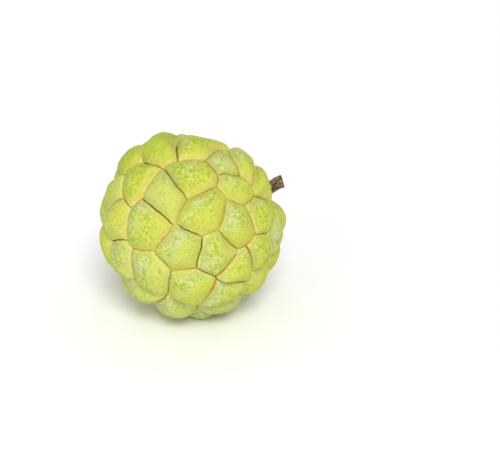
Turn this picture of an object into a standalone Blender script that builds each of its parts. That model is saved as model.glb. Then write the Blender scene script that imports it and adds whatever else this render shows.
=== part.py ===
"""Custard apple (sugar apple): a round fruit covered in raised knobs, with the stub of its stalk.

The knobs' crests lie on a spiral, each a golden angle on from the last. A block is sliced flat
at each crest, which leaves one facet for each knob. Every facet is then domed, so the edges
between the facets become the grooves between the knobs. The fruit lies on four knobs, whose
crests are pressed flat where it rests.

Metres, +Z up. The origin is on the ground, under the middle of the fruit's box.
"""

import random
from math import acos, cos, exp, radians, sin

import bmesh
import bpy
from mathutils import Matrix, Vector

# The fruit, measured from its centre
CREST_RADIUS = 0.0414  # to the knobs' crests, half-way between the stalk and the blossom end
SQUAT = 0.02  # share of that radius lost at the two ends
EGG = 0.022  # share gained at the stalk's shoulders and lost at the blossom end
DIMPLE_DEPTH = 0.0035  # hollow round the stalk
DIMPLE_ANGLE = 15.0  # degrees from the stalk to the hollow's shoulder

# The knobs
KNOB_COUNT = 66
GOLDEN_ANGLE = -137.508  # degrees round the stalk's axis from each knob to the next
CROWDING = -0.12  # shifts the knobs along the axis: below zero they are closer at the blossom end
STRAY = 3.0  # most degrees that an unnamed knob strays from its place, before the knobs settle
SETTLING_ROUNDS = 40
SETTLING_STEP = 0.0006  # how far one round pushes a knob, on the unit ball
SETTLING_POWER = 5  # higher makes only the nearest neighbours count
DOME = 0.0026  # fall from a knob's crest to its shoulder
SHOULDER = 0.0013  # further fall from the shoulder into the groove
SHOULDER_POWER = 5  # higher makes the knobs flatter and their sides steeper
CORNER_POWER = 9  # higher makes the knobs' corners sharper

SEAT = KNOB_COUNT  # the facet at the pole, which the stalk grows from, is numbered after the knobs
POLE_LIMIT = 0.3  # least sine of the angle from the pole that a drift round the stalk counts with
SEED = 11

# The knobs round the stalk, on the front and underneath: degrees away from the stalk and round
# it, off the even spiral. The others settle into the room that is left.
KNOB_DRIFT = {
    0: (10, 0), 1: (3, 4), 4: (4, 24), 9: (3, 9), 12: (0, 5), 14: (-9, 2), 17: (2, 8), 22: (3, 8),
    25: (-2, -18), 27: (-4, 1), 30: (1, -6), 32: (-7, -2), 34: (2, 2), 35: (1, 1), 37: (-8, -1),
    38: (7, 1), 40: (-1, 6), 42: (4, 2), 43: (1, -3), 45: (-6, 1), 46: (3, -7), 47: (-5, 8),
    48: (-3, -1), 50: (6, 1), 51: (5, 4), 53: (1, 2), 55: (0, 1), 56: (2, -5), 58: (6, 2),
    59: (2, -9), 61: (3, 2), 64: (5, 0),
}
# Knobs that stand prouder or lower than the rest, in metres
KNOB_RISE = {
    1: 0.0014, 4: 0.0010, 7: -0.0010, 9: -0.0004, 12: -0.0026, 17: -0.0004, 30: 0.0032,
    34: 0.0010, 38: 0.0014, 42: 0.0008, 45: 0.0008, 50: 0.0006, SEAT: -0.0008,
}

# How the fruit lies: its stalk starts upright, is spun, tipped over and turned about the vertical.
SPIN, TIP, TURN = -8.0, 66.0, 9.5  # degrees
PRESSED = 0.0012  # how much of the lowest crests is flat against the ground

# The mesh of one knob
EDGE_STEP = 0.0037  # length of one segment along a groove
RING_SHARES = (0.90, 0.73, 0.42)  # rings between a knob's groove, at 1, and its crest, at 0
SHORTEST_EDGE = 0.0011  # grooves shorter than this close up to a point

# The stalk and the socket that it grows from
STALK_RADIUS = 0.0034  # at the cut end
STALK_WAIST = 0.94  # share of that radius half-way along
STALK_FOOT = 1.08  # share of that radius where it leaves the seat
STALK_RIM = 0.0005  # bevel round both ends
STALK_SUNK = 0.0035  # length inside the socket
STALK_PROUD = 0.0080  # length above the seat
STALK_SIDES = 20
SOCKET_CUTTER = 0.02  # length of the tool that bores the socket
GAP = 0.0003
CREASE = 50.0  # degrees between faces above which the shading shows an edge


def clear_scene():
    for obj in list(bpy.data.objects):
        bpy.data.objects.remove(obj)


def make_collection(name):
    collection = bpy.data.collections.new(name)
    bpy.context.scene.collection.children.link(collection)
    return collection


def make_material(name, colour, roughness):
    material = bpy.data.materials.new(name)
    material.use_nodes = True
    shader = material.node_tree.nodes["Principled BSDF"]
    shader.inputs["Base Color"].default_value = (*colour, 1.0)
    shader.inputs["Roughness"].default_value = roughness
    shader.inputs["Metallic"].default_value = 0.0
    return material


def knob_directions():
    """Directions from the fruit's centre to its crests, then to the seat, with the stalk along +Z."""
    rng = random.Random(SEED)
    directions = []
    for knob in range(KNOB_COUNT):
        share = (knob + 0.5) / KNOB_COUNT
        share += CROWDING * share * (1 - share)
        stray = (rng.uniform(-STRAY, STRAY), rng.uniform(-STRAY, STRAY))
        away, across = KNOB_DRIFT.get(knob, stray)
        polar = acos(1 - 2 * share) + radians(away)
        around = radians(GOLDEN_ANGLE * knob) + radians(across) / max(sin(polar), POLE_LIMIT)
        directions.append(Vector((sin(polar) * cos(around), sin(polar) * sin(around), cos(polar))))
    directions.append(Vector((0, 0, 1)))
    settle(directions)
    return directions


def settle(directions):
    """Neighbours push the unnamed knobs apart until they are evenly spaced."""
    loose = [knob for knob in range(KNOB_COUNT) if knob not in KNOB_DRIFT]
    for _ in range(SETTLING_ROUNDS):
        for knob in loose:
            here = directions[knob]
            push = Vector()
            for other, direction in enumerate(directions):
                if other != knob:
                    apart = here - direction
                    push += apart / apart.length**SETTLING_POWER
            directions[knob] = (here + push * SETTLING_STEP).normalized()


def slice_facets(directions):
    """A block about the unit ball, sliced flat at each knob's crest."""
    bm = bmesh.new()
    bmesh.ops.create_cube(bm, size=4)
    for direction in directions:
        cut = bmesh.ops.bisect_plane(
            bm,
            geom=bm.verts[:] + bm.edges[:] + bm.faces[:],
            plane_co=direction,
            plane_no=direction,
            clear_outer=True,
        )
        rim = [item for item in cut["geom_cut"] if isinstance(item, bmesh.types.BMEdge)]
        bmesh.ops.edgeloop_fill(bm, edges=rim)
    bmesh.ops.remove_doubles(bm, verts=bm.verts[:], dist=SHORTEST_EDGE / CREST_RADIUS)
    return bm


def split_grooves(bm):
    """Even segments along every groove."""
    by_cuts = {}
    for edge in bm.edges:
        cuts = max(1, round(edge.calc_length() * CREST_RADIUS / EDGE_STEP) - 1)
        by_cuts.setdefault(cuts, []).append(edge)
    for cuts, edges in by_cuts.items():
        bmesh.ops.bisect_edges(bm, edges=edges, cuts=cuts)


def reach(point, knob, directions):
    """How far a direction lies from a knob's crest, at 0, to its groove, at 1, round its corners."""
    crest = directions[knob]
    on_facet = point / point.dot(crest)
    total = 0.0
    for other, direction in enumerate(directions):
        if other == knob:
            continue
        at_crest = crest.dot(direction)
        along = (on_facet.dot(direction) - at_crest) / (1 - at_crest)
        total += max(0.0, along) ** CORNER_POWER
    return min(1.0, total ** (1 / CORNER_POWER))


def surface_radius(direction, knob, share):
    """The fruit's radius towards a direction, at a share of the way from the knob's crest."""
    ends = EGG * direction.z - SQUAT * direction.z**2
    from_stalk = acos(max(-1.0, min(1.0, direction.z)))
    dimple = DIMPLE_DEPTH * exp(-((from_stalk / radians(DIMPLE_ANGLE)) ** 4))
    rise = KNOB_RISE.get(knob, 0.0) * (1 - share**2)
    fall = DOME * share**2 + SHOULDER * share**SHOULDER_POWER
    return CREST_RADIUS * (1 + ends) - dimple + rise - fall


def dome_facets(bm, directions):
    """Rings from each facet's outline to its crest, all pushed out to the fruit's surface."""
    radii = {vert: (0, 1.0) for vert in bm.verts}
    for face in bm.faces[:]:
        middle = face.calc_center_median()
        knob = max(range(len(directions)), key=lambda k: directions[k].dot(middle))
        crest = directions[knob]
        outer = 1.0
        for share in RING_SHARES:
            bmesh.ops.inset_individual(bm, faces=[face], thickness=0)
            for vert in face.verts:
                vert.co = crest.lerp(vert.co, share / outer)
                radii[vert] = (knob, reach(vert.co.normalized(), knob, directions))
            outer = share
        tip = bmesh.ops.poke(bm, faces=[face])["verts"][0]
        tip.co = crest
        radii[tip] = (knob, 0.0)
    for vert, (knob, share) in radii.items():
        direction = vert.co.normalized()
        vert.co = direction * surface_radius(direction, knob, share)


def press_flat(bm):
    """Slices the lowest crests level and closes the cuts."""
    ground = min(vert.co.z for vert in bm.verts) + PRESSED
    cut = bmesh.ops.bisect_plane(
        bm,
        geom=bm.verts[:] + bm.edges[:] + bm.faces[:],
        plane_co=(0, 0, ground),
        plane_no=(0, 0, -1),
        clear_outer=True,
    )
    rim = [item for item in cut["geom_cut"] if isinstance(item, bmesh.types.BMEdge)]
    bmesh.ops.holes_fill(bm, edges=rim, sides=0)


def link_mesh(bm, name, collection, material):
    mesh = bpy.data.meshes.new(name)
    bmesh.ops.recalc_face_normals(bm, faces=bm.faces[:])
    bm.to_mesh(mesh)
    bm.free()
    mesh.materials.append(material)
    mesh.shade_smooth()
    mesh.set_sharp_from_angle(angle=radians(CREASE))
    obj = bpy.data.objects.new(name, mesh)
    collection.objects.link(obj)
    return obj


def seat_height():
    """Distance from the fruit's centre to the seat that the stalk grows from."""
    return surface_radius(Vector((0, 0, 1)), SEAT, 0.0)


def make_fruit(lie, collection, material):
    directions = knob_directions()
    bm = slice_facets(directions)
    split_grooves(bm)
    dome_facets(bm, directions)
    bm.transform(lie)
    press_flat(bm)
    return link_mesh(bm, "fruit", collection, material)


def turned(profile, sides, name, collection, material):
    """A solid of revolution about Z from (radius, height) pairs, top to bottom."""
    mesh = bpy.data.meshes.new(name)
    points = [(radius, 0, height) for radius, height in profile]
    mesh.from_pydata(points, [(i, i + 1) for i in range(len(points) - 1)], [])
    obj = bpy.data.objects.new(name, mesh)
    collection.objects.link(obj)
    screw = obj.modifiers.new("turn", "SCREW")
    screw.steps = sides
    screw.render_steps = sides
    screw.use_smooth_shade = True
    screw.use_merge_vertices = True
    screw.merge_threshold = 0.0001
    mesh.materials.append(material)
    return obj


def stalk_profile():
    """Swollen where it leaves the seat, waisted above that, with a bevelled rim at the cut end."""
    seat = seat_height()
    foot = seat - STALK_SUNK
    top = seat + STALK_PROUD
    foot_radius = STALK_RADIUS * STALK_FOOT
    return [
        (0, top),
        (STALK_RADIUS - STALK_RIM, top),
        (STALK_RADIUS, top - STALK_RIM),
        (STALK_RADIUS * STALK_WAIST, (seat + top) / 2),
        (foot_radius, seat),
        (foot_radius, foot + STALK_RIM),
        (foot_radius - STALK_RIM, foot),
        (0, foot),
    ]


def cut_socket(fruit, lie, collection):
    """The plain round hole in the seat that the stalk stands in."""
    radius = STALK_RADIUS * STALK_FOOT + GAP
    floor = seat_height() - STALK_SUNK - GAP
    bm = bmesh.new()
    bmesh.ops.create_cone(
        bm, cap_ends=True, segments=STALK_SIDES, radius1=radius, radius2=radius,
        depth=SOCKET_CUTTER, matrix=lie @ Matrix.Translation((0, 0, floor + SOCKET_CUTTER / 2)),
    )
    mesh = bpy.data.meshes.new("socket_cutter")
    bm.to_mesh(mesh)
    bm.free()
    cutter = bpy.data.objects.new("socket_cutter", mesh)
    cutter.hide_render = True
    cutter.display_type = "WIRE"
    collection.objects.link(cutter)
    cut = fruit.modifiers.new("socket", "BOOLEAN")
    cut.operation = "DIFFERENCE"
    cut.solver = "EXACT"
    cut.object = cutter
    return cutter


def set_on_ground(objects):
    """Moves everything so that the ground and the middle of the box come to the origin."""
    bpy.context.view_layer.update()
    graph = bpy.context.evaluated_depsgraph_get()
    points = []
    for obj in objects:
        if obj.hide_render:
            continue
        evaluated = obj.evaluated_get(graph)
        points += [evaluated.matrix_world @ vert.co for vert in evaluated.data.vertices]
    middle = [(min(p[i] for p in points) + max(p[i] for p in points)) / 2 for i in (0, 1)]
    ground = min(p.z for p in points)
    for obj in objects:
        obj.matrix_world = Matrix.Translation((-middle[0], -middle[1], -ground)) @ obj.matrix_world


def main():
    clear_scene()
    parts = make_collection("custard_apple")
    cutters = make_collection("cutters")
    skin = make_material("fruit_skin", (0.52, 0.62, 0.20), 0.6)
    bark = make_material("stalk_bark", (0.16, 0.11, 0.07), 0.85)
    lie = (
        Matrix.Rotation(radians(TURN), 4, "Z")
        @ Matrix.Rotation(radians(TIP), 4, "Y")
        @ Matrix.Rotation(radians(SPIN), 4, "Z")
    )
    fruit = make_fruit(lie, parts, skin)
    stalk = turned(stalk_profile(), STALK_SIDES, "stalk", parts, bark)
    stalk.matrix_world = lie
    cutter = cut_socket(fruit, lie, cutters)
    set_on_ground([fruit, stalk, cutter])


main()
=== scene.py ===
import random
from math import acos, cos, pi, radians, sin

import bmesh
import bpy
import numpy as np
from mathutils import Matrix, Vector, noise


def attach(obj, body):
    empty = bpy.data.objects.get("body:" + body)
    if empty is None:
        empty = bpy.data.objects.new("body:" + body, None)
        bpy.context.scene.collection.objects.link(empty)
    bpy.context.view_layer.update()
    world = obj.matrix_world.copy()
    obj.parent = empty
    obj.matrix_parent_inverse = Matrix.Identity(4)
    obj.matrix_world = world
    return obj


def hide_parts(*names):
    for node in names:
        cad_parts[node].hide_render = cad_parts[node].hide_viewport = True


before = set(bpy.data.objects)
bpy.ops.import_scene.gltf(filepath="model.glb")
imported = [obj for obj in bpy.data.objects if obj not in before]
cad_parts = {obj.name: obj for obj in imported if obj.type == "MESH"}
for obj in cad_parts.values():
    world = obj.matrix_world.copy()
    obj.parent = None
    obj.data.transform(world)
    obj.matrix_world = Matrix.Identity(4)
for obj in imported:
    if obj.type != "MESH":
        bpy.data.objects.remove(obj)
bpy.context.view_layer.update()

# How the fruit lies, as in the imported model: metres and degrees
pose = {
    "centre": (-0.001341, 0.000031, 0.038859),
    "spin": -8.0, "tip": 66.0, "turn": 9.5,
}
lie = (
    Matrix.Rotation(radians(pose["turn"]), 4, "Z")
    @ Matrix.Rotation(radians(pose["tip"]), 4, "Y")
    @ Matrix.Rotation(radians(pose["spin"]), 4, "Z")
)
toWorld = Matrix.Translation(pose["centre"]) @ lie


# Node helpers

def newMaterial(name):
    material = bpy.data.materials.new(name)
    material.use_nodes = True
    tree = material.node_tree
    shader = tree.nodes["Principled BSDF"]
    return material, tree, shader


def attributeNode(tree, name):
    node = tree.nodes.new("ShaderNodeAttribute")
    node.attribute_name = name
    return node.outputs["Fac"]


def objectPoint(tree, stretch=(1, 1, 1)):
    coords = tree.nodes.new("ShaderNodeTexCoord")
    mapping = tree.nodes.new("ShaderNodeMapping")
    mapping.inputs["Scale"].default_value = stretch
    tree.links.new(coords.outputs["Object"], mapping.inputs["Vector"])
    return mapping.outputs["Vector"]


def noiseNode(tree, point, size, detail=3.0, rough=0.5, twist=0.0):
    node = tree.nodes.new("ShaderNodeTexNoise")
    node.inputs["Scale"].default_value = 1 / size
    node.inputs["Detail"].default_value = detail
    node.inputs["Roughness"].default_value = rough
    node.inputs["Distortion"].default_value = twist
    tree.links.new(point, node.inputs["Vector"])
    return node.outputs["Fac"]


def remap(tree, value, low, high, toLow=0.0, toHigh=1.0, smooth=True):
    node = tree.nodes.new("ShaderNodeMapRange")
    node.interpolation_type = "SMOOTHSTEP" if smooth else "LINEAR"
    node.inputs["From Min"].default_value = low
    node.inputs["From Max"].default_value = high
    node.inputs["To Min"].default_value = toLow
    node.inputs["To Max"].default_value = toHigh
    tree.links.new(value, node.inputs["Value"])
    return node.outputs["Result"]


def maths(tree, operation, first, second=None, third=None, clamp=False):
    node = tree.nodes.new("ShaderNodeMath")
    node.operation = operation
    node.use_clamp = clamp
    for socket, value in zip(node.inputs, (first, second, third)):
        if value is None:
            continue
        if isinstance(value, (int, float)):
            socket.default_value = value
        else:
            tree.links.new(value, socket)
    return node.outputs["Value"]


def mixed(tree, factor, first, second, blend="MIX"):
    node = tree.nodes.new("ShaderNodeMix")
    node.data_type = "RGBA"
    node.blend_type = blend
    sockets = [s for s in node.inputs if s.type == "RGBA"]
    for socket, value in zip(sockets, (first, second)):
        if isinstance(value, tuple):
            socket.default_value = (*value, 1.0)
        else:
            tree.links.new(value, socket)
    if isinstance(factor, (int, float)):
        node.inputs[0].default_value = factor
    else:
        tree.links.new(factor, node.inputs[0])
    return next(s for s in node.outputs if s.type == "RGBA")


def bumped(tree, shader, height, distance, strength=1.0):
    node = tree.nodes.new("ShaderNodeBump")
    node.inputs["Distance"].default_value = distance
    node.inputs["Strength"].default_value = strength
    tree.links.new(height, node.inputs["Height"])
    tree.links.new(node.outputs["Normal"], shader.inputs["Normal"])


def addPiece(name, points, faces, material, attributes=None):
    mesh = bpy.data.meshes.new(name)
    mesh.from_pydata([tuple(p) for p in points], [], [tuple(f) for f in faces])
    mesh.materials.append(material)
    for key, values in (attributes or {}).items():
        layer = mesh.attributes.new(key, "FLOAT", "POINT")
        layer.data.foreach_set("value", np.asarray(values, np.float32))
    mesh.validate()
    mesh.shade_smooth()
    obj = bpy.data.objects.new(name, mesh)
    bpy.context.scene.collection.objects.link(obj)
    return obj


# The knobs' crests: the same spiral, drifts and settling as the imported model

fruit = {
    "crestRadius": 0.0414, "squat": 0.02, "egg": 0.022,
    "dimpleDepth": 0.0035, "dimpleAngle": 15.0, "dimplePower": 4,
    "knobs": 66, "goldenAngle": -137.508, "crowding": -0.12, "stray": 3.0,
    "settlingRounds": 40, "settlingStep": 0.0006, "settlingPower": 5,
    "cornerPower": 14, "poleLimit": 0.3, "grooveBlend": 24, "neighbourCosine": 0.3,
    "seed": 11, "tightSeed": 5, "collarSeed": 3, "leanSeed": 23, "toneSeed": 31,
    # degrees that a knob strays from the spiral, away from the stalk and round it: the first
    # values were fitted by a program, then rounded, and many of them moved one by one
    "drift": {
        0: (10, 0), 1: (3, 4), 4: (4, 24), 9: (3, 9), 12: (0, 5), 14: (-9, 2), 17: (2, 8),
        22: (3, 8), 25: (-2, -18), 27: (-4, 1), 30: (1, -6), 32: (-7, -2), 34: (2, 2), 35: (1, 1),
        37: (-8, -1), 38: (7, 1), 40: (-1, 6), 42: (4, 2), 43: (1, -3), 45: (-6, 1), 46: (3, -7),
        47: (-5, 8), 48: (-3, -1), 50: (6, 1), 51: (5, 4), 53: (1, 2), 55: (0, 1), 56: (2, -5),
        58: (6, 2), 59: (2, -9), 61: (3, 2), 64: (5, 0),
    },
    "rise": {  # metres that a knob's crest stands above the rest
        1: 0.0014, 4: 0.0010, 7: -0.0010, 9: -0.0004, 12: -0.0026, 17: -0.0004, 30: 0.0032,
        34: 0.0010, 38: 0.0014, 42: 0.0008, 45: 0.0008, 50: 0.0006, 66: -0.0008,
    },
    "sink": 0.00052,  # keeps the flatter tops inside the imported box
    "dome": 0.0028,
    # fall from the crest to the shoulder and its power, then the crack's depth and width
    "valley": (0.0014, 5.0, 0.0002, 0.00050),
    "tight": (0.0011, 5.0, 0.0008, 0.00026),
    "shortestEdge": 0.0011, "edgeStep": 0.00082,
    "rings": (0.988, 0.975, 0.960, 0.942, 0.92, 0.893, 0.86, 0.82, 0.77, 0.71, 0.64, 0.56, 0.47,
              0.37, 0.26, 0.14),
    "tilt": 0.00132, "tiltPower": 6,
    "yellowSide": (0.5, 0.85),  # how far a knob's yellow side faces the stalk, and round it
    "toneSpread": (-0.25, 0.35), "deepSpread": (0, 0.2), "mottlingSpread": (-0.25, 0.30),
    "seatEdge": (0.0042, 0.0068),
    # knobs of a deeper green; the high values on knobs 30 and 38 are partly painted shade over the
    # upper left, and the nought and low values on knobs 9, 53, 56, 58 and 61 near the outline are
    # partly painted light
    "deep": {
        30: 0.90, 38: 1.00, 43: 0.55, 33: 0.60, 46: 0.60, 51: 0.50, 56: 0.20, 59: 0.40, 61: 0.15,
        64: 0.30, 9: 0.0, 53: 0.0, 58: 0.0,
    },
    # paler above 0, yellower below; the high values on knobs 9, 58 and 61 near the outline are
    # partly painted light
    "tone": {
        9: 0.35, 14: -0.1, 17: 0.0, 27: -0.05, 58: 0.3, 61: 0.4,
    },
    # how rubbed and mottled the knobs on the front are
    "mottling": {
        48: 0.34, 22: 0.36, 43: 0.20, 35: -0.20, 27: 0.00, 40: -0.05, 30: -0.08, 45: 0.02, 53: 0.16,
        61: 0.25, 56: 0.10, 9: 0.15, 14: 0.05, 17: 0.22, 38: 0.12,
    },
    # grooves between two knobs that are a dark tight crack at 1, or an open valley at 0
    "tightAngles": (0.45, 0.85), "tightMost": 0.8, "tightStray": 0.1,
    "cracks": {
        (17, 30): 1, (30, 43): 1, (22, 35): 1, (35, 48): 1, (27, 40): 1, (43, 56): 1, (56, 61): 1,
        (32, 40): 1, (30, 38): 1, (27, 35): 0.05, (22, 27): 0.15, (35, 43): 0, (43, 48): 0.1,
        (48, 56): 0, (40, 48): 0.15, (40, 45): 0.25, (40, 53): 0.2, (30, 35): 0, (17, 22): 0.1,
        (9, 22): 0.5, (9, 14): 0.1, (14, 27): 0.35, (48, 53): 0.45, (48, 61): 0.2,
    },
    "collar": {
        "lumps": 7, "away": 0.0051, "width": 0.0015, "height": 0.0009, "narrow": 0.80, "edge": 2.6,
        "turnStray": 0.22, "awayStray": (-0.0003, 0.0004), "widthStray": (0.85, 1.2),
    },
    "wander": ((0.0130, 0.00200), (0.0028, 0.00022)),  # wavelength and size of the grooves' curves
    "lumps": ((0.0065, 0.00022), (0.0022, 0.00006)),
    "wanderShifts": ((0, 0, 0), (31, 0, 0), (0, 47, 0)), "lumpShift": (7, 3, 5),
}


def knobDirections():
    rng = random.Random(fruit["seed"])
    directions = []
    for knob in range(fruit["knobs"]):
        share = (knob + 0.5) / fruit["knobs"]
        share += fruit["crowding"] * share * (1 - share)
        stray = (rng.uniform(-fruit["stray"], fruit["stray"]),
                 rng.uniform(-fruit["stray"], fruit["stray"]))
        away, across = fruit["drift"].get(knob, stray)
        polar = acos(1 - 2 * share) + radians(away)
        around = radians(fruit["goldenAngle"] * knob)
        around += radians(across) / max(sin(polar), fruit["poleLimit"])
        directions.append(Vector((sin(polar) * cos(around), sin(polar) * sin(around), cos(polar))))
    directions.append(Vector((0, 0, 1)))
    loose = [knob for knob in range(fruit["knobs"]) if knob not in fruit["drift"]]
    for _ in range(fruit["settlingRounds"]):
        for knob in loose:
            here = directions[knob]
            push = Vector()
            for other, direction in enumerate(directions):
                if other != knob:
                    apart = here - direction
                    push += apart / apart.length ** fruit["settlingPower"]
            directions[knob] = (here + push * fruit["settlingStep"]).normalized()
    return directions


def slicedFacets(directions):
    bm = bmesh.new()
    bmesh.ops.create_cube(bm, size=4)
    for direction in directions:
        cut = bmesh.ops.bisect_plane(
            bm, geom=bm.verts[:] + bm.edges[:] + bm.faces[:],
            plane_co=direction, plane_no=direction, clear_outer=True)
        rim = [item for item in cut["geom_cut"] if isinstance(item, bmesh.types.BMEdge)]
        bmesh.ops.edgeloop_fill(bm, edges=rim)
    bmesh.ops.remove_doubles(
        bm, verts=bm.verts[:], dist=fruit["shortestEdge"] / fruit["crestRadius"])
    byCuts = {}
    for edge in bm.edges:
        cuts = max(1, round(edge.calc_length() * fruit["crestRadius"] / fruit["edgeStep"]) - 1)
        byCuts.setdefault(cuts, []).append(edge)
    for cuts, edges in byCuts.items():
        bmesh.ops.bisect_edges(bm, edges=edges, cuts=cuts)
    bm.verts.index_update()
    points = [vert.co.copy() for vert in bm.verts]
    loops = [[vert.index for vert in face.verts] for face in bm.faces]
    bm.free()
    return points, loops


def smoothstep(low, high, value):
    t = np.clip((value - low) / (high - low), 0, 1)
    return t * t * (3 - 2 * t)


def grooveTightness(crests):
    # Grooves that cross the stalk's axis are tight cracks, and those along it are open valleys.
    count = len(crests)
    tight = np.zeros((count, count))
    rng = random.Random(fruit["tightSeed"])
    stray = fruit["tightStray"]
    for i in range(count):
        for j in range(i + 1, count):
            middle = crests[i] + crests[j]
            middle /= np.linalg.norm(middle)
            meridian = np.array((0, 0, 1)) - middle[2] * middle
            meridian /= np.linalg.norm(meridian) + 1e-9
            between = crests[j] - crests[i]
            along = abs(between @ meridian) / np.linalg.norm(between)
            value = smoothstep(*fruit["tightAngles"], along) * fruit["tightMost"]
            value += rng.uniform(-stray, stray)
            value = fruit["cracks"].get((i, j), value)
            tight[i, j] = tight[j, i] = min(1, max(0, value))
    return tight


def knobValues(crests, tight, points, knob):
    # What the shape and the skin need to know at points on one knob's facet
    crest = crests[knob]
    power = fruit["cornerPower"]
    onFacet = points / (points @ crest)[:, None]
    atCrest = crests @ crest
    others = np.array([k for k in range(len(crests))
                       if k != knob and atCrest[k] > fruit["neighbourCosine"]])
    along = (onFacet @ crests[others].T - atCrest[others]) / (1 - atCrest[others])
    along = np.maximum(0, along)
    weight = (along / np.maximum(along.max(1), 1e-6)[:, None]) ** fruit["grooveBlend"]
    weight[along.max(1) < 1e-5] = 1
    weight /= weight.sum(1)[:, None]
    half = np.tan(np.arccos(atCrest[others]) / 2) * fruit["crestRadius"]
    towards, turned = fruit["yellowSide"]
    stalkWay = np.array((0, 0, 1))
    yellowSide = towards * stalkWay - turned * np.cross(crest, stalkWay)
    yellowSide -= (yellowSide @ crest) * crest
    yellowSide /= np.linalg.norm(yellowSide) + 1e-9
    return {
        "share": np.minimum(1, (along ** power).sum(1) ** (1 / power)),
        "groove": np.maximum(0, ((1 - along) * half).min(1)),
        "tight": weight @ tight[knob, others],
        "corner": smoothstep(0.9, 1.0, np.sort(along, axis=1)[:, -2]),
        "aside": (onFacet - crest) @ yellowSide * fruit["crestRadius"],
        "knob": np.full(len(points), float(knob)),
    }


def fruitShape():
    directions = knobDirections()
    crests = np.array([tuple(d) for d in directions])
    tight = grooveTightness(crests)
    corners, loops = slicedFacets(directions)
    shared = np.array([tuple(c) for c in corners])
    count = len(shared)
    # One block of values for the shared grooves, then one for each knob's rings
    keys = ("share", "groove", "tight", "corner", "aside", "knob")
    sums = {key: np.zeros(count) for key in keys}
    seen = np.zeros(count)
    positions = [shared]
    values = {key: [] for key in keys}
    faces = []
    start = count
    rings = fruit["rings"]
    for loop in loops:
        middle = shared[loop].mean(0)
        knob = int(np.argmax(crests @ middle))
        crest = crests[knob]
        edge = shared[loop]
        found = knobValues(crests, tight, edge, knob)
        for key in keys:
            sums[key][loop] += found[key]
        seen[loop] += 1
        size = len(loop)
        blocks = [crest + share * (edge - crest) for share in rings] + [crest[None, :]]
        inner = np.concatenate(blocks)
        found = knobValues(crests, tight, inner, knob)
        for key in keys:
            values[key].append(found[key])
        positions.append(inner)
        ids = [list(loop)] + [list(range(start + r * size, start + (r + 1) * size))
                              for r in range(len(rings))]
        tip = start + len(rings) * size
        for outer, nearer in zip(ids, ids[1:]):
            for a in range(size):
                b = (a + 1) % size
                faces.append((outer[a], outer[b], nearer[b], nearer[a]))
        last = ids[-1]
        faces += [(last[a], last[(a + 1) % size], tip) for a in range(size)]
        start += len(inner)

    data = {key: np.concatenate([sums[key] / seen] + values[key]) for key in keys}
    data["share"][:count] = 1.0
    data["groove"][:count] = 0.0
    data["aside"][:count] = 0.0
    points = np.concatenate(positions)
    return points, faces, data, count


def collarLumps(direction):
    # From 0 on the seat to 1 on the lumps that ring the stalk
    collar = fruit["collar"]
    fromAxis = np.arccos(np.clip(direction[:, 2], -1, 1)) * fruit["crestRadius"]
    angle = np.arctan2(direction[:, 1], direction[:, 0])
    rng = random.Random(fruit["collarSeed"])
    turnStray = collar["turnStray"]
    value = np.zeros(len(direction))
    for lump in range(collar["lumps"]):
        middle = 2 * pi * (lump + rng.uniform(-turnStray, turnStray)) / collar["lumps"]
        away = collar["away"] + rng.uniform(*collar["awayStray"])
        size = collar["width"] * rng.uniform(*collar["widthStray"])
        across = np.abs((angle - middle + pi) % (2 * pi) - pi) * fromAxis
        apart = np.hypot(fromAxis - away, across * collar["narrow"]) / size
        value = np.maximum(value, np.exp(-apart ** collar["edge"]))
    return value


def surfaceRadius(direction, data, shared):
    z = direction[:, 2]
    ends = fruit["egg"] * z - fruit["squat"] * z ** 2
    fromStalk = np.arccos(np.clip(z, -1, 1))
    inDimple = fromStalk / radians(fruit["dimpleAngle"])
    dimple = fruit["dimpleDepth"] * np.exp(-(inDimple ** fruit["dimplePower"]))
    share = data["share"]
    rises = np.array([fruit["rise"].get(k, 0.0) for k in range(fruit["knobs"] + 1)])
    knob = np.round(data["knob"]).astype(int)
    rise = rises[knob] * (1 - share ** 2)
    rise[:shared] = 0
    falls = []
    for kind in ("valley", "tight"):
        depth, power, crack, width = fruit[kind]
        falls.append(depth * share ** power + crack * np.exp(-data["groove"] / width))
    t = data["tight"]
    fall = fruit["dome"] * share ** 2 + falls[0] * (1 - t) + falls[1] * t
    radius = fruit["crestRadius"] * (1 + ends) - dimple + rise - fall - fruit["sink"]
    # Each knob leans a little its own way
    rng = random.Random(fruit["leanSeed"])
    leans = np.array([[rng.gauss(0, 1) for _ in range(3)] for _ in rises])
    lean = (direction * leans[knob]).sum(1)
    mean = np.array([lean[knob == k].mean() if (knob == k).any() else 0
                     for k in range(len(rises))])
    lean = (lean - mean[knob]) * fruit["tilt"] * (1 - share ** fruit["tiltPower"])
    lean[:shared] = 0
    return radius + lean + data["lump"] * fruit["collar"]["height"]


def noiseVector(p):
    return Vector([noise.noise(p + Vector(shift)) for shift in fruit["wanderShifts"]])


def wandered(points):
    moved = np.empty_like(points)
    for i, p in enumerate(points):
        here = Vector(p)
        shift = Vector()
        for size, reach in fruit["wander"]:
            shift += noiseVector(here / size) * reach
        away = here.normalized()
        shift -= away * shift.dot(away)
        lump = 0.0
        for size, reach in fruit["lumps"]:
            lump += noise.noise(here / size + Vector(fruit["lumpShift"])) * reach
        moved[i] = here + shift + away * lump
    return moved


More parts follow.
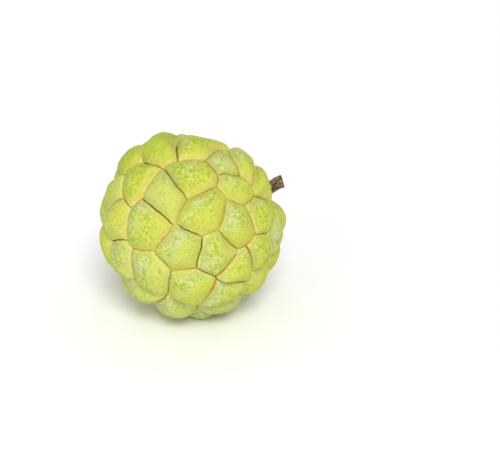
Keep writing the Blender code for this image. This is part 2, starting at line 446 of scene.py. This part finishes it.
skinLook = {
    # size, detail, roughness and distortion of each texture
    "textures": {
        "clouds": (0.0110, 2.0, 0.5), "patches": (0.0050, 2.0, 0.5, 0.3),
        "blots": (0.0016, 3.0, 0.7, 0.2), "dabs": (0.0012, 3.0, 0.7, 0.2),
        "grains": (0.0007, 2.0, 0.6, 0.3),
    },
    "roughness": (0.62, 0.78), "specular": 0.22, "bump": (0.00014, 0.9),
    "subsurface": 0.06, "subsurfaceRadius": (1.0, 0.8, 0.25), "subsurfaceScale": 0.0010,
    "base": (0.508, 0.535, 0.056),
    "pale": (0.495, 0.540, 0.250),
    "deep": (0.370, 0.440, 0.030),
    "mottle": (0.300, 0.395, 0.002),
    "powder": (0.670, 0.705, 0.330),
    # edge: a deeper green of the skin, also used as painted shade beside the grooves
    "edge": (0.330, 0.395, 0.040),
    "yellow": (0.670, 0.590, 0.120),
    "orange": (0.640, 0.410, 0.060),
    # rim: a pale cream of worn bloom, also used as a painted highlight along the knobs' edges
    "rim": (0.730, 0.690, 0.300),
    "crack": (0.120, 0.080, 0.008),
    "speck": (0.100, 0.050, 0.015),
    "cork": (0.300, 0.190, 0.095),
    "lump": (0.190, 0.260, 0.030),
    "scar": (0.430, 0.410, 0.290),
}


def skinMaterial():
    material, tree, shader = newMaterial("fruit_skin_detail")
    point = objectPoint(tree)
    groove, tight, corner, aside, tone, mottling, deep, seat, lump = (
        attributeNode(tree, name) for name in (
            "groove", "tight", "corner", "aside", "tone", "mottling", "deep", "seat", "lump"))
    textures = skinLook["textures"]
    clouds, patches, blots, dabs, grains = (
        noiseNode(tree, point, *textures[name])
        for name in ("clouds", "patches", "blots", "dabs", "grains"))

    # A paler, bluer green away from the yellow side
    pale = maths(tree, "MULTIPLY", remap(tree, aside, 0.003, -0.007),
                 remap(tree, clouds, 0.35, 0.6))
    pale = maths(tree, "ADD", pale, remap(tree, patches, 0.36, 0.64, -0.12, 0.12))
    pale = maths(tree, "ADD", pale, maths(tree, "MULTIPLY", tone, 1.1), clamp=True)
    colour = mixed(tree, pale, skinLook["base"], skinLook["pale"])

    # Some knobs are a deeper green than the rest
    colour = mixed(tree, maths(tree, "MULTIPLY", deep, 0.85), colour, skinLook["deep"])

    # Clusters of rubbed green and powdery spots over the middle of a knob
    inside = remap(tree, groove, 0.0012, 0.0036)
    cluster = maths(tree, "ADD", patches, maths(tree, "MULTIPLY", mottling, 0.45))
    cluster = maths(tree, "SUBTRACT", cluster, maths(tree, "MULTIPLY", aside, 14.0))
    cluster = maths(tree, "MULTIPLY", remap(tree, cluster, 0.45, 0.60), inside)
    rubbed = maths(tree, "MULTIPLY", remap(tree, blots, 0.45, 0.56),
                   maths(tree, "ADD", 0.12, maths(tree, "MULTIPLY", cluster, 0.78)))
    colour = mixed(tree, rubbed, colour, skinLook["mottle"])
    spots = maths(tree, "MULTIPLY", remap(tree, dabs, 0.53, 0.63),
                  maths(tree, "ADD", 0.15, maths(tree, "MULTIPLY", cluster, 0.30)))
    colour = mixed(tree, spots, colour, skinLook["powder"])
    fine = maths(tree, "MULTIPLY", remap(tree, grains, 0.52, 0.66), 0.25)
    colour = mixed(tree, fine, colour, skinLook["powder"])
    fine = maths(tree, "MULTIPLY", remap(tree, grains, 0.46, 0.34), 0.30)
    colour = mixed(tree, fine, colour, skinLook["mottle"])

    # Painted shade along the edge that faces away from the yellow side, darkening it towards the
    # groove, mixed with a real deeper green
    turned = maths(tree, "MULTIPLY", remap(tree, groove, 0.0030, 0.0006),
                   remap(tree, aside, 0.0, -0.006))
    turned = maths(tree, "MULTIPLY", turned, remap(tree, clouds, 0.38, 0.58, 0.15, 0.55))
    colour = mixed(tree, turned, colour, skinLook["edge"])

    # and painted shade beside a tight crack, where two knobs press together
    pressedShade = maths(tree, "MULTIPLY", remap(tree, tight, 0.85, 0.99),
                    remap(tree, groove, 0.0024, 0.0005))
    colour = mixed(tree, maths(tree, "MULTIPLY", pressedShade, 0.40), colour, skinLook["edge"])

    # Yellowing towards the groove on the other side
    lean = remap(tree, aside, -0.002, 0.007)
    width = maths(tree, "ADD", 0.0009, maths(tree, "MULTIPLY", lean, 0.0036))
    nearer = maths(tree, "SUBTRACT", 1.0, maths(tree, "DIVIDE", groove, width), clamp=True)
    nearer = maths(tree, "POWER", nearer, 0.8)
    yellowed = maths(tree, "MULTIPLY", nearer, remap(tree, clouds, 0.32, 0.58, 0.45, 1.0))
    ripe = maths(tree, "SUBTRACT", 0.60, maths(tree, "MULTIPLY", tone, 1.1), clamp=True)
    colour = mixed(tree, maths(tree, "MULTIPLY", yellowed, ripe), colour, skinLook["yellow"])

    # Pale rim beside the groove: worn bloom, and also a painted highlight along the knob's edge
    rim = maths(tree, "MULTIPLY", remap(tree, groove, 0.00030, 0.00070),
                remap(tree, groove, 0.00140, 0.00080))
    rim = maths(tree, "MULTIPLY", rim, remap(tree, blots, 0.38, 0.60, 0.10, 0.75))
    colour = mixed(tree, rim, colour, skinLook["rim"])

    # Tan floor of the groove, and a brown crack that comes and goes along it
    width = remap(tree, tight, 0.0, 1.0, 0.00140, 0.00070)
    floor = remap(tree, maths(tree, "DIVIDE", groove, width), 1.0, 0.1)
    floor = maths(tree, "MULTIPLY", floor, remap(tree, patches, 0.42, 0.58, 0.05, 0.75))
    colour = mixed(tree, floor, colour, skinLook["orange"])
    broken = remap(tree, clouds, 0.40, 0.55)
    broken = maths(tree, "MAXIMUM", broken, remap(tree, tight, 0.88, 0.99))
    depth = maths(tree, "ADD", maths(tree, "MULTIPLY", tight, 0.80), 0.12)
    depth = maths(tree, "MULTIPLY", depth, broken)
    width = remap(tree, patches, 0.35, 0.65, 0.00018, 0.00036)
    line = remap(tree, maths(tree, "DIVIDE", groove, width), 1.0, 0.30)
    colour = mixed(tree, maths(tree, "MULTIPLY", line, depth), colour, skinLook["crack"])
    speck = maths(tree, "MULTIPLY", corner, remap(tree, grains, 0.48, 0.62))
    colour = mixed(tree, maths(tree, "MULTIPLY", speck, 0.45), colour, skinLook["speck"])

    # Corky skin round the stalk, in a ring of dark green lumps with greyish scars
    corked = maths(tree, "MULTIPLY", seat, remap(tree, grains, 0.35, 0.6, 0.4, 1.0))
    colour = mixed(tree, corked, colour, skinLook["cork"])
    green = maths(tree, "MULTIPLY", remap(tree, lump, 0.15, 0.60),
                  remap(tree, blots, 0.35, 0.5, 0.5, 0.9))
    colour = mixed(tree, green, colour, skinLook["lump"])
    scar = maths(tree, "MULTIPLY", remap(tree, lump, 0.60, 0.95), remap(tree, dabs, 0.46, 0.58))
    colour = mixed(tree, maths(tree, "MULTIPLY", scar, 0.80), colour, skinLook["scar"])

    tree.links.new(colour, shader.inputs["Base Color"])
    rough = remap(tree, grains, 0.3, 0.7, *skinLook["roughness"])
    tree.links.new(rough, shader.inputs["Roughness"])
    shader.inputs["Specular IOR Level"].default_value = skinLook["specular"]
    shader.inputs["Subsurface Weight"].default_value = skinLook["subsurface"]
    shader.inputs["Subsurface Radius"].default_value = skinLook["subsurfaceRadius"]
    shader.inputs["Subsurface Scale"].default_value = skinLook["subsurfaceScale"]
    height = maths(tree, "ADD", maths(tree, "MULTIPLY", grains, 0.5),
                   maths(tree, "MULTIPLY", blots, 1.4))
    bumped(tree, shader, height, *skinLook["bump"])
    return material


def makeFruit():
    points, faces, data, shared = fruitShape()
    direction = points / np.linalg.norm(points, axis=1)[:, None]
    data["knob"][:shared] = 0
    data["lump"] = collarLumps(direction)
    radius = surfaceRadius(direction, data, shared)
    body = wandered(direction * radius[:, None])
    world = np.array(toWorld)
    placed = body @ world[:3, :3].T + world[:3, 3]
    placed[:, 2] = np.maximum(placed[:, 2], 0.0)
    rng = random.Random(fruit["toneSeed"])
    tones, deeps, rubs = (
        np.array([fruit[key].get(k, rng.uniform(*fruit[key + "Spread"]))
                  for k in range(fruit["knobs"] + 1)])
        for key in ("tone", "deep", "mottling"))
    knob = np.round(data["knob"]).astype(int)
    tone, deep = tones[knob], deeps[knob]
    tone[:shared], deep[:shared] = np.mean(fruit["toneSpread"]), np.mean(fruit["deepSpread"])
    fromAxis = np.arccos(np.clip(direction[:, 2], -1, 1)) * fruit["crestRadius"]
    seat = 1 - smoothstep(*fruit["seatEdge"], fromAxis)
    skin = addPiece("knobbly_skin", placed, faces, skinMaterial(), {
        "groove": data["groove"], "tight": data["tight"], "corner": data["corner"],
        "aside": data["aside"], "tone": tone, "mottling": rubs[knob], "deep": deep,
        "seat": seat, "lump": data["lump"],
    })
    print("knobbly_skin", len(placed), "points", sum(len(f) - 2 for f in faces), "triangles")
    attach(skin, "root")
    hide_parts("fruit")


makeFruit()
print("fruit made")


# The stub of the stalk

stalk = {
    "radius": 0.0034, "waist": 0.94, "foot": 1.08,
    "low": 0.03370, "seat": 0.03718, "high": 0.04518,
    "around": 120, "rows": 46, "capRings": 14,
    "inset": 0.00030, "fissures": 0.00050, "dish": 0.00045, "slant": 0.16,
    "gnarl": 0.09, "gnarlSize": 0.0042, "lipFrom": 0.95, "lip": 0.10,
    # how often the bark's plates and its fine relief repeat round the stalk, and up it
    "plates": (2.2, 0.0045), "fine": (5.5, 0.0019),
    "roughness": 0.85, "specular": 0.25, "bump": (0.00025, 0.9),
    "woodRings": 9500.0, "pithEdge": (0.0009, 0.0003),
    "bark": (0.150, 0.098, 0.050), "ridge": (0.340, 0.255, 0.145), "deep": (0.035, 0.022, 0.012),
    "wood": (0.560, 0.430, 0.260), "pith": (0.300, 0.200, 0.110),
}


def barkRelief(angle, height):
    # Long fissures that run up the stalk, broken into plates
    plates, fine = (
        noise.noise(Vector((cos(angle) * often, sin(angle) * often, height / size)))
        for often, size in (stalk["plates"], stalk["fine"]))
    return -max(0.0, 1 - abs(plates) * 2.6) ** 2 + fine * 0.55


def makeStalk():
    points, faces, cut, depth = [], [], [], []
    around, rows = stalk["around"], stalk["rows"]
    for row in range(rows + 1):
        t = row / rows
        z = stalk["low"] + (stalk["high"] - stalk["low"]) * t
        above = max(0.0, (z - stalk["seat"]) / (stalk["high"] - stalk["seat"]))
        share = stalk["foot"] + (1 - stalk["foot"]) * min(1, above * 2)
        share -= (1 - stalk["waist"]) * sin(pi * above)
        for step in range(around):
            angle = 2 * pi * step / around
            relief = barkRelief(angle, z)
            upwards = z / stalk["gnarlSize"] + 3
            gnarl = noise.noise(Vector((cos(angle) * 0.9, sin(angle) * 0.9, upwards)))
            inLip = max(0.0, (t - stalk["lipFrom"]) / (1 - stalk["lipFrom"]))
            r = stalk["radius"] * share - stalk["inset"] + relief * stalk["fissures"]
            r *= 1 - stalk["lip"] * inLip ** 2
            r *= 1 - stalk["gnarl"] * (0.4 + 1.2 * abs(gnarl))
            points.append((r * cos(angle), r * sin(angle), z))
            cut.append(0.0)
            depth.append(max(0.0, -relief))
    for row in range(rows):
        for step in range(around):
            a, b = row * around + step, row * around + (step + 1) % around
            faces.append((a, b, b + around, a + around))
    rim = rows * around
    last = [rim + s for s in range(around)]
    for ring in range(1, stalk["capRings"] + 1):
        share = 1 - ring / (stalk["capRings"] + 1)
        fresh = []
        for step in range(around):
            x, y, z = points[rim + step]
            here = Vector((x * share, y * share, 0)) / 0.0009
            drop = stalk["dish"] * (1 - share ** 6) * (0.7 + 0.5 * noise.noise(here))
            rings = 0.00004 * sin(share * 26 + noise.noise(here) * 1.5)
            fresh.append(len(points))
            points.append((x * share, y * share, stalk["high"] - abs(drop) + rings - 0.00005))
            cut.append(1.0 if ring > 1 else 0.6)
            depth.append(0.0)
        for step in range(around):
            after = (step + 1) % around
            faces.append((last[step], last[after], fresh[after], fresh[step]))
        last = fresh
    points.append((0, 0, stalk["high"] - stalk["dish"]))
    cut.append(1.0)
    depth.append(0.0)
    faces += [(last[s], last[(s + 1) % around], len(points) - 1) for s in range(around)]
    points.append((0, 0, stalk["low"]))
    cut.append(0.0)
    depth.append(0.0)
    faces += [((s + 1) % around, s, len(points) - 1) for s in range(around)]
    world = np.array(toWorld)
    local = np.array(points)
    # The cut is a little slanted
    above = np.clip((local[:, 2] - stalk["seat"]) / (stalk["high"] - stalk["seat"]), 0, 1)
    local[:, 2] -= stalk["slant"] * above ** 2 * (stalk["radius"] + local[:, 0])
    placed = local @ world[:3, :3].T + world[:3, 3]
    fromAxis = np.hypot(local[:, 0], local[:, 1])
    piece = addPiece("stalk_stub", placed, faces, barkMaterial(), {
        "cut": cut, "fissure": depth, "axis": fromAxis,
    })
    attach(piece, "root")
    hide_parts("stalk")


def barkMaterial():
    material, tree, shader = newMaterial("stalk_bark_detail")
    point = objectPoint(tree)
    cut = attributeNode(tree, "cut")
    fissure = attributeNode(tree, "fissure")
    axis = attributeNode(tree, "axis")
    flecks = noiseNode(tree, point, 0.0009, 4.0, 0.6, 0.5)
    fine = noiseNode(tree, point, 0.00025, 3.0, 0.6)
    colour = mixed(tree, remap(tree, flecks, 0.42, 0.62), stalk["bark"], stalk["ridge"])
    colour = mixed(tree, remap(tree, fissure, 0.25, 0.8), colour, stalk["deep"])
    turns = maths(tree, "MULTIPLY", axis, stalk["woodRings"])
    turns = maths(tree, "ADD", turns, maths(tree, "MULTIPLY", flecks, 5.0))
    ringed = maths(tree, "ADD", maths(tree, "SINE", turns), 1.0)
    ringed = maths(tree, "MULTIPLY", ringed, 0.22)
    wood = mixed(tree, ringed, stalk["wood"], stalk["pith"])
    wood = mixed(tree, remap(tree, axis, *stalk["pithEdge"]), wood, stalk["pith"])
    colour = mixed(tree, cut, colour, wood)
    tree.links.new(colour, shader.inputs["Base Color"])
    shader.inputs["Roughness"].default_value = stalk["roughness"]
    shader.inputs["Specular IOR Level"].default_value = stalk["specular"]
    height = maths(tree, "ADD", flecks, maths(tree, "MULTIPLY", fine, 0.5))
    bumped(tree, shader, height, *stalk["bump"])
    return material


makeStalk()
print("stalk made")


# Floor, light and camera

studio = {
    "floor": (0.94, 0.94, 0.94), "floorRoughness": 0.8, "floorHalf": 8, "world": 0.60,
    "back": 0.600, "elevation": 25.0, "lens": 100.0, "sensor": 36.0,
    "beside": 0.02614, "below": 0.00043,  # where the camera aims, from the fruit's middle
    # a broad soft lamp above the front, and a weaker one low on the left
    "lamps": (
        {"kind": "SUN", "name": "key", "place": (0.12, -0.72, 0.78), "size": radians(24),
         "power": 2.12},
        {"kind": "AREA", "name": "fill", "place": (-0.55, -0.75, 0.18), "size": 0.6, "power": 1.7},
    ),
    "lampAim": (0, 0, 0.04),
}


def makeStudio():
    material, tree, shader = newMaterial("pale_floor")
    shader.inputs["Base Color"].default_value = (*studio["floor"], 1.0)
    shader.inputs["Roughness"].default_value = studio["floorRoughness"]
    mesh = bpy.data.meshes.new("floor")
    half = studio["floorHalf"]
    corners = [(-half, -half, 0), (half, -half, 0), (half, half, 0), (-half, half, 0)]
    mesh.from_pydata(corners, [], [(0, 1, 2, 3)])
    mesh.materials.append(material)
    floor = bpy.data.objects.new("floor", mesh)
    bpy.context.scene.collection.objects.link(floor)

    world = bpy.data.worlds.new("studio")
    world.use_nodes = True
    backdrop = world.node_tree.nodes["Background"]
    backdrop.inputs["Color"].default_value = (1.0, 1.0, 1.0, 1.0)
    backdrop.inputs["Strength"].default_value = studio["world"]
    bpy.context.scene.world = world
    bpy.context.scene.view_settings.view_transform = "Standard"
    for lamp in studio["lamps"]:
        addLight(lamp)


def addLight(lamp):
    data = bpy.data.lights.new(lamp["name"], lamp["kind"])
    if lamp["kind"] == "SUN":
        data.angle = lamp["size"]
    else:
        data.size = lamp["size"]
    data.energy = lamp["power"]
    light = bpy.data.objects.new(lamp["name"], data)
    light.location = lamp["place"]
    aim = Vector(studio["lampAim"]) - Vector(lamp["place"])
    light.rotation_euler = aim.to_track_quat("-Z", "Y").to_euler()
    bpy.context.scene.collection.objects.link(light)


def makeCamera():
    centre = Vector(pose["centre"])
    tipped = radians(studio["elevation"])
    back = Vector((0, -cos(tipped), sin(tipped)))
    right = Vector((1, 0, 0))
    up = Vector((0, sin(tipped), cos(tipped)))
    aim = centre + right * studio["beside"] - up * studio["below"]
    data = bpy.data.cameras.new("camera")
    data.lens = studio["lens"]
    data.sensor_width = studio["sensor"]
    camera = bpy.data.objects.new("camera", data)
    camera.location = aim + back * studio["back"]
    camera.rotation_euler = (aim - camera.location).to_track_quat("-Z", "Y").to_euler()
    bpy.context.scene.collection.objects.link(camera)
    bpy.context.scene.camera = camera


makeStudio()
makeCamera()
print("studio made")
